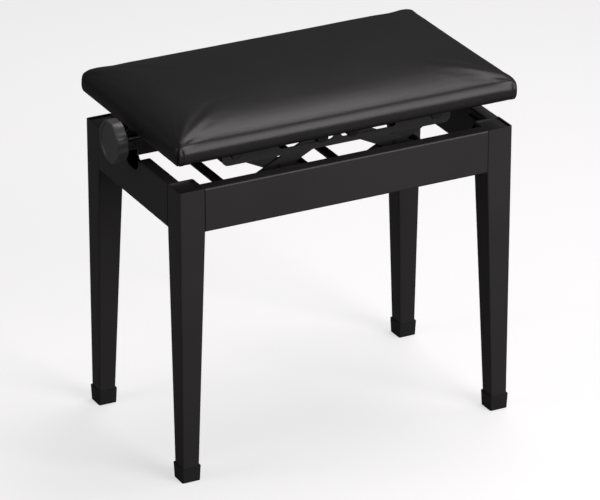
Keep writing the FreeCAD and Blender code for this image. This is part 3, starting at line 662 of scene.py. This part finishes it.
# ---- seat cushion ------------------------------------------------------------------------------
# Black leatherette drawn over a foam pad, folded into a tuck at each corner, turned
# under the board and stapled there.  The pad is blown up as a cloth, so its sides
# bulge and its top is crowned; the tucks and the strain lines from them come after.
CUSHION_VOXEL = 0.004
CUSHION_STEPS = 20
CUSHION_PRESSURE = 4.0
GRIP_FULL_BELOW = 0.003      # held fast this far below the board's top
GRIP_FREE_ABOVE = 0.006      # and let go this far above it
CUSHION_SWELL = 0.0055       # furthest that the air moves the cover
CUSHION_START_DROP = 0.0015  # the pad starts this much lower
CUSHION_SIDE_SPARE = 0.0030  # and this much wider, each side
COVER_FOLD = 0.026
SIDE_HEIGHT = 0.0235         # of the shoulder's middle above the cover's underside
SHOULDER = (                 # inset from the side and height above the underside
    (0.0000, 0.0165), (0.0006, 0.0200), (0.0021, 0.0234), (0.0048, 0.0264),
    (0.0090, 0.0290), (0.0150, 0.0312), (0.0240, 0.0333), (0.0360, 0.0350),
    (0.0500, 0.0359), (0.0640, 0.0360),
)
CORNER_RADIUS = 0.005
CORNER_EASE = 0.35           # a ring's corner grows by this share of its inset
CORNER_STEPS = 8
HEM_TURN = 0.0014            # radius of the cover's turn under the board

cushion_low, cushion_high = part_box("seat_cover")
board_low, board_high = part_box("seat_board")


def level_outline(half_x, half_y, radius, z):
    """Rounded rectangle at one height, as a ring of points."""
    ring = []
    for turn, (sign_x, sign_y) in enumerate(((1, -1), (1, 1), (-1, 1), (-1, -1))):
        centre = Vector((sign_x * (half_x - radius), sign_y * (half_y - radius), z))
        for step in range(CORNER_STEPS + 1):
            angle = math.radians(-90 + 90 * turn + 90 * step / CORNER_STEPS)
            ring.append(centre + Vector((math.cos(angle), math.sin(angle), 0)) * radius)
    return ring


def pad_form():
    """Closed pad: turned hem, upright side, round shoulder and a gentle slope to the middle."""
    half_x = cushion_high.x + CUSHION_SIDE_SPARE
    half_y = cushion_high.y + CUSHION_SIDE_SPARE
    top = cushion_high.z - cushion_low.z - CUSHION_START_DROP
    stretch = top / SHOULDER[-1][1]
    rings = [level_outline(half_x - HEM_TURN, half_y - HEM_TURN, CORNER_RADIUS - HEM_TURN, cushion_low.z),
             level_outline(half_x, half_y, CORNER_RADIUS, cushion_low.z + HEM_TURN)]
    for inset, height in SHOULDER:
        rings.append(level_outline(half_x - inset, half_y - inset, CORNER_RADIUS + inset * CORNER_EASE,
                                   cushion_low.z + height * stretch))
    count = len(rings[0])
    vertices = [point for ring in rings for point in ring]
    faces = [tuple(reversed(range(count)))]
    for ring in range(len(rings) - 1):
        for step in range(count):
            here = ring * count + step
            beside = ring * count + (step + 1) % count
            faces.append((here, beside, beside + count, here + count))
    faces.append(tuple(range(len(vertices) - count, len(vertices))))
    return mesh_object("seat_cushion", vertices, faces)


def apply_modifiers(piece):
    """Turn a piece with its modifiers into a plain mesh."""
    depsgraph = bpy.context.evaluated_depsgraph_get()
    mesh = bpy.data.meshes.new_from_object(piece.evaluated_get(depsgraph))
    piece.modifiers.clear()
    piece.data = mesh
    piece.data.name = piece.name


def blow_up(piece):
    """Swell the pad as a cloth bag whose hem and lower sides are held by the board."""
    held = piece.vertex_groups.new(name="held")
    for vertex in piece.data.vertices:
        grip = 1 - ramp(vertex.co.z, board_high.z - GRIP_FULL_BELOW, board_high.z + GRIP_FREE_ABOVE)
        held.add([vertex.index], grip, "REPLACE")
    start = [vertex.co.copy() for vertex in piece.data.vertices]
    cloth = piece.modifiers.new("air", "CLOTH")
    cloth.settings.quality = 6
    cloth.settings.mass = 0.3
    cloth.settings.tension_stiffness = 18
    cloth.settings.compression_stiffness = 18
    cloth.settings.shear_stiffness = 6
    cloth.settings.bending_stiffness = 2.0
    cloth.settings.use_pressure = True
    cloth.settings.uniform_pressure_force = CUSHION_PRESSURE
    cloth.settings.effector_weights.gravity = 0
    cloth.settings.vertex_group_mass = "held"
    cloth.collision_settings.use_collision = False
    cloth.point_cache.frame_start = 1
    cloth.point_cache.frame_end = CUSHION_STEPS
    for step in range(1, CUSHION_STEPS + 1):
        bpy.context.scene.frame_set(step)
    apply_modifiers(piece)
    bpy.context.scene.frame_set(1)
    most = max((vertex.co - before).length for vertex, before in zip(piece.data.vertices, start))
    ease = min(CUSHION_SWELL / most, 1.0)
    for vertex, before in zip(piece.data.vertices, start):
        vertex.co = before.lerp(vertex.co, ease)
    piece.vertex_groups.clear()


cushion = pad_form()
remesh = cushion.modifiers.new("voxels", "REMESH")
remesh.mode = "VOXEL"
remesh.voxel_size = CUSHION_VOXEL
apply_modifiers(cushion)
blow_up(cushion)
smooth = cushion.modifiers.new("even", "SMOOTH")
smooth.iterations = 2
smooth.factor = 0.5
finer = cushion.modifiers.new("finer", "SUBSURF")
finer.levels = 1
finer.render_levels = 1
apply_modifiers(cushion)

# The cover is turned under the board by the fold's width and cut there, and the space
# that the board fills is left open.
hem_half_x = board_high.x - COVER_FOLD
hem_half_y = board_high.y - COVER_FOLD
UNDERSIDE_BAND = 0.0015
FOLD_TOP_GAP = 0.0001
POCKET_GAP = 0.0003
UNDERSIDE_LAYER = 0.001      # faces lower than this are the cover's underside


def open_underside(piece):
    """Cut the hem, and line the pocket round the board."""
    shape = bmesh.new()
    shape.from_mesh(piece.data)
    for vertex in shape.verts:
        if vertex.co.z < cushion_low.z + UNDERSIDE_BAND:
            vertex.co.z = cushion_low.z
    for axis, half in ((0, hem_half_x), (1, hem_half_y)):
        for sign in (-1, 1):
            spot = Vector((0, 0, 0))
            spot[axis] = sign * half
            normal = Vector((0, 0, 0))
            normal[axis] = sign
            under = [face for face in shape.faces
                     if face.calc_center_median().z < cushion_low.z + UNDERSIDE_LAYER]
            parts = set(under)
            for face in under:
                parts.update(face.verts)
                parts.update(face.edges)
            bmesh.ops.bisect_plane(shape, geom=list(parts), dist=1e-6, plane_co=spot, plane_no=normal)
    inside = [face for face in shape.faces
              if face.calc_center_median().z < cushion_low.z + UNDERSIDE_LAYER
              and abs(face.calc_center_median().x) < hem_half_x
              and abs(face.calc_center_median().y) < hem_half_y]
    bmesh.ops.delete(shape, geom=inside, context="FACES")
    rim = [edge for edge in shape.edges if edge.is_boundary]
    fold_top = board_low.z - FOLD_TOP_GAP
    grow_x = (board_high.x + POCKET_GAP) / hem_half_x
    grow_y = (board_high.y + POCKET_GAP) / hem_half_y
    for grow, height in (((1, 1), fold_top), ((grow_x, grow_y), fold_top),
                         ((1, 1), board_high.z + POCKET_GAP)):
        made = bmesh.ops.extrude_edge_only(shape, edges=rim)["geom"]
        points = {item for item in made if isinstance(item, bmesh.types.BMVert)}
        for point in points:
            point.co = (point.co.x * grow[0], point.co.y * grow[1], height)
        rim = [item for item in made if isinstance(item, bmesh.types.BMEdge)
               and points.issuperset(item.verts)]
    bmesh.ops.holes_fill(shape, edges=rim, sides=0)
    bmesh.ops.recalc_face_normals(shape, faces=shape.faces)
    shape.to_mesh(piece.data)
    shape.free()


open_underside(cushion)

TUCK_TOP = SIDE_HEIGHT - 0.001
TUCK_DEPTH = 0.0018
TUCK_WIDTH = 0.0009
TUCK_LIP = 0.0009
TUCK_LIP_OFFSET = 0.0024     # from the tuck to the middle of its lip
TUCK_LIP_WIDTH = 0.0015
TUCK_FADE_BELOW = 0.002      # the tuck fades out between these, about its top
TUCK_FADE_ABOVE = 0.001
TUCK_REACH = 0.006           # nothing is pressed in higher than this above its top
TUCK_HEM_SPARE = 0.0001      # below the underside, so the hem is pressed in too
REFINE_REACHES = (0.012, 0.006, 0.0035)
CORNER_SPARE = 0.004         # a corner takes in this much of the straight beside it
STREAK_GAIN = 1.6
STREAK_START = (0.003, 0.014)  # the streaks rise between these distances from the corner
STREAK_BELOW = 0.006         # they begin this far below the tuck's top
STREAK_FULL = 0.001          # and have their full height this far above it
RIPPLE_HEIGHT = 0.0003
RIPPLE_SCALE = (14, 14, 30)  # per metre
STREAKS = (                  # plan angle from the nearest side, spread, height, fade length
    (7.0, 4.0, 0.00050, 0.050),
    (21.0, 5.0, 0.00060, 0.040),
    (38.0, 6.0, 0.00025, 0.025),
)


def refine_corners(shape):
    """Smaller faces round the four tucks, in three steps."""
    for reach in REFINE_REACHES:
        close = []
        for edge in shape.edges:
            middle = (edge.verts[0].co + edge.verts[1].co) / 2
            away = corner_offset(middle)
            if away is not None and abs(away[0]) < reach and middle.z < cushion_low.z + TUCK_TOP + reach:
                close.append(edge)
        bmesh.ops.subdivide_edges(shape, edges=close, cuts=1, use_grid_fill=True)


def corner_offset(point):
    """Signed distance across the nearest tuck and the way out of it, near a corner."""
    centre = Vector((math.copysign(cushion_high.x - CORNER_RADIUS, point.x),
                     math.copysign(cushion_high.y - CORNER_RADIUS, point.y), 0))
    out = Vector((point.x - centre.x, point.y - centre.y, 0))
    if min(out.x * math.copysign(1, point.x), out.y * math.copysign(1, point.y)) < -CORNER_SPARE:
        return None
    if out.length < CORNER_RADIUS * 0.5:
        return None
    along = abs(math.atan2(abs(out.y), abs(out.x))) - math.pi / 4
    return along * out.length, out.normalized()


def strain(point):
    """Height of the strain lines that spread over the top from a corner's tuck."""
    over = point.z - cushion_low.z - TUCK_TOP
    if over < -STREAK_BELOW:
        return 0.0
    end = cushion_high.x - abs(point.x)
    side = cushion_high.y - abs(point.y)
    reach = math.hypot(end, side)
    angle = math.degrees(math.atan2(min(end, side), max(end, side)))
    height = 0.0
    for middle, spread_angle, rise, fade in STREAKS:
        height += rise * math.exp(-((angle - middle) / spread_angle) ** 2) * math.exp(-reach / fade)
    return height * STREAK_GAIN * ramp(reach, *STREAK_START) * ramp(over, -STREAK_BELOW, STREAK_FULL)


def add_tucks(piece):
    """Press a tuck into each corner, with strain lines that spread from its top."""
    shape = bmesh.new()
    shape.from_mesh(piece.data)
    refine_corners(shape)
    for vertex in shape.verts:
        point = vertex.co.copy()
        away = corner_offset(point)
        if away is not None and -TUCK_HEM_SPARE < point.z - cushion_low.z < TUCK_TOP + TUCK_REACH:
            across, out = away
            tuck_top = cushion_low.z + TUCK_TOP
            hold = 1 - ramp(point.z, tuck_top - TUCK_FADE_BELOW, tuck_top + TUCK_FADE_ABOVE)
            groove = -TUCK_DEPTH * math.exp(-(across / TUCK_WIDTH) ** 2)
            lip = TUCK_LIP * math.exp(-((across - TUCK_LIP_OFFSET) / TUCK_LIP_WIDTH) ** 2)
            vertex.co += out * (groove + lip) * hold
        vertex.co += vertex.normal * strain(point)
        if point.z > board_high.z:
            vertex.co.z += RIPPLE_HEIGHT * noise.noise(point * Vector(RIPPLE_SCALE))
    shape.to_mesh(piece.data)
    shape.free()


add_tucks(cushion)
cushion.data.shade_smooth()


def make_leatherette():
    """Embossed leather grain, soft creases and a slightly uneven sheen."""
    material, tree = new_material("black_leatherette")
    place = add_node(tree, "ShaderNodeTexCoord")
    bend = add_node(tree, "ShaderNodeTexNoise", {"Scale": 420.0, "Detail": 2.0})
    warped = add_node(tree, "ShaderNodeMix", {"Factor": 0.0012}, data_type="VECTOR")
    cells = add_node(tree, "ShaderNodeTexVoronoi", {"Scale": 850.0, "Randomness": 1.0},
                     feature="DISTANCE_TO_EDGE")
    pores = add_node(tree, "ShaderNodeTexNoise", {"Scale": 2600.0, "Detail": 2.0})
    creases = add_node(tree, "ShaderNodeTexNoise", {"Scale": 34.0, "Detail": 4.0, "Distortion": 0.8})
    blotches = add_node(tree, "ShaderNodeTexNoise", {"Scale": 11.0, "Detail": 5.0})
    link = tree.links.new
    link(place.outputs["Object"], bend.inputs["Vector"])
    link(place.outputs["Object"], warped.inputs["A"])
    link(bend.outputs["Color"], warped.inputs["B"])
    link(warped.outputs["Result"], cells.inputs["Vector"])
    for texture in (pores, creases, blotches):
        link(place.outputs["Object"], texture.inputs["Vector"])
    pebble = add_node(tree, "ShaderNodeMapRange", {"From Max": 0.22, "To Max": 1.0})
    link(cells.outputs["Distance"], pebble.inputs["Value"])
    colour = blend_colour(tree, blotches.outputs["Fac"], (0.0080, 0.0076, 0.0078), (0.0112, 0.0106, 0.0108))
    rough_spread = spread(tree, blotches.outputs["Fac"], 0.33, 0.42)
    soft = bump(tree, creases.outputs["Fac"], 0.0005, 0.35)
    grained = bump(tree, pebble.outputs["Result"], 0.00006, 0.55, under=soft)
    normal = bump(tree, pores.outputs["Fac"], 0.00003, 0.4, under=grained)
    finish_material(tree, colour, rough_spread, normal)
    return material


leatherette = make_leatherette()
cushion.data.materials.append(leatherette)
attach(cushion, "seat_carriage")
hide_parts("seat_cover", "foam_pad")


# ---- staples -------------------------------------------------------------------------------------
# Bright wire staples, shot by hand a finger's width apart along the middle of the hem.
STAPLE_STEP = 0.027
STAPLE_HALF = 0.005
STAPLE_LEG = 0.0006          # its ends, above the row
STAPLE_BOW = 0.0009          # its curve's handles, below the row
STAPLE_ROW = 0.45            # of the fold's width, out from its cut edge
STAPLE_GAP = 0.0001          # from the cover down to the row
STAPLE_WIRE = 0.0004
STAPLE_END_GAP = 0.020


def staple_tree():
    """Bent wire staples along an object's edges, each turned a little."""
    tree = bpy.data.node_groups.new("staple_row", "GeometryNodeTree")
    tree.interface.new_socket("Geometry", in_out="INPUT", socket_type="NodeSocketGeometry")
    for label in ("Step", "Wire"):
        tree.interface.new_socket(label, in_out="INPUT", socket_type="NodeSocketFloat")
    tree.interface.new_socket("Metal", in_out="INPUT", socket_type="NodeSocketMaterial")
    tree.interface.new_socket("Geometry", in_out="OUTPUT", socket_type="NodeSocketGeometry")
    given = add_node(tree, "NodeGroupInput")
    result = add_node(tree, "NodeGroupOutput")
    line = add_node(tree, "GeometryNodeMeshToCurve")
    points = add_node(tree, "GeometryNodeResampleCurve", mode="LENGTH")
    tangent = add_node(tree, "GeometryNodeInputTangent")
    aim = add_node(tree, "FunctionNodeAlignEulerToVector", axis="X")
    wobble = add_node(tree, "FunctionNodeRandomValue", {2: -0.22, 3: 0.22, "Seed": 11})
    turn = add_node(tree, "ShaderNodeCombineXYZ")
    turned = add_node(tree, "FunctionNodeRotateEuler", space="LOCAL")
    crown = add_node(tree, "GeometryNodeCurvePrimitiveBezierSegment", {
        "Resolution": 8,
        "Start": (-STAPLE_HALF, 0, STAPLE_LEG), "Start Handle": (-STAPLE_HALF, 0, -STAPLE_BOW),
        "End Handle": (STAPLE_HALF, 0, -STAPLE_BOW), "End": (STAPLE_HALF, 0, STAPLE_LEG)})
    wire = add_node(tree, "GeometryNodeCurvePrimitiveCircle", {"Resolution": 6})
    solid = add_node(tree, "GeometryNodeCurveToMesh", {"Fill Caps": True})
    row = add_node(tree, "GeometryNodeInstanceOnPoints")
    real = add_node(tree, "GeometryNodeRealizeInstances")
    metal = add_node(tree, "GeometryNodeSetMaterial")
    link = tree.links.new
    link(given.outputs["Geometry"], line.inputs["Mesh"])
    link(line.outputs["Curve"], points.inputs["Curve"])
    link(given.outputs["Step"], points.inputs["Length"])
    link(tangent.outputs["Tangent"], aim.inputs["Vector"])
    link(wobble.outputs[1], turn.inputs["Z"])
    link(aim.outputs[0], turned.inputs["Rotation"])
    link(turn.outputs[0], turned.inputs["Rotate By"])
    link(given.outputs["Wire"], wire.inputs["Radius"])
    link(crown.outputs["Curve"], solid.inputs["Curve"])
    link(wire.outputs["Curve"], solid.inputs["Profile Curve"])
    link(points.outputs["Curve"], row.inputs["Points"])
    link(solid.outputs["Mesh"], row.inputs["Instance"])
    link(turned.outputs[0], row.inputs["Rotation"])
    link(row.outputs["Instances"], real.inputs["Geometry"])
    link(real.outputs["Geometry"], metal.inputs["Geometry"])
    link(given.outputs["Metal"], metal.inputs["Material"])
    link(metal.outputs["Geometry"], result.inputs["Geometry"])
    return tree


staple_steel = coated_metal("staple_wire", (0.42, 0.42, 0.43), (0.55, 0.55, 0.56), (0.65, 0.65, 0.66),
                            0.30, 0.000004, metallic=1.0, scale=3000.0)
row_x = hem_half_x + COVER_FOLD * STAPLE_ROW
row_y = hem_half_y + COVER_FOLD * STAPLE_ROW
row_z = cushion_low.z - STAPLE_GAP
end_x = row_x - STAPLE_END_GAP
end_y = row_y - STAPLE_END_GAP
staple_lines = [(Vector((-end_x, side * row_y, row_z)), Vector((end_x, side * row_y, row_z)))
                for side in (-1, 1)]
staple_lines += [(Vector((side * row_x, -end_y, row_z)), Vector((side * row_x, end_y, row_z)))
                 for side in (-1, 1)]
staples = edges_object("hem_staples", staple_lines)
apply_tree(staples, staple_tree(), {"Step": STAPLE_STEP, "Wire": STAPLE_WIRE, "Metal": staple_steel})
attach(staples, "seat_carriage")
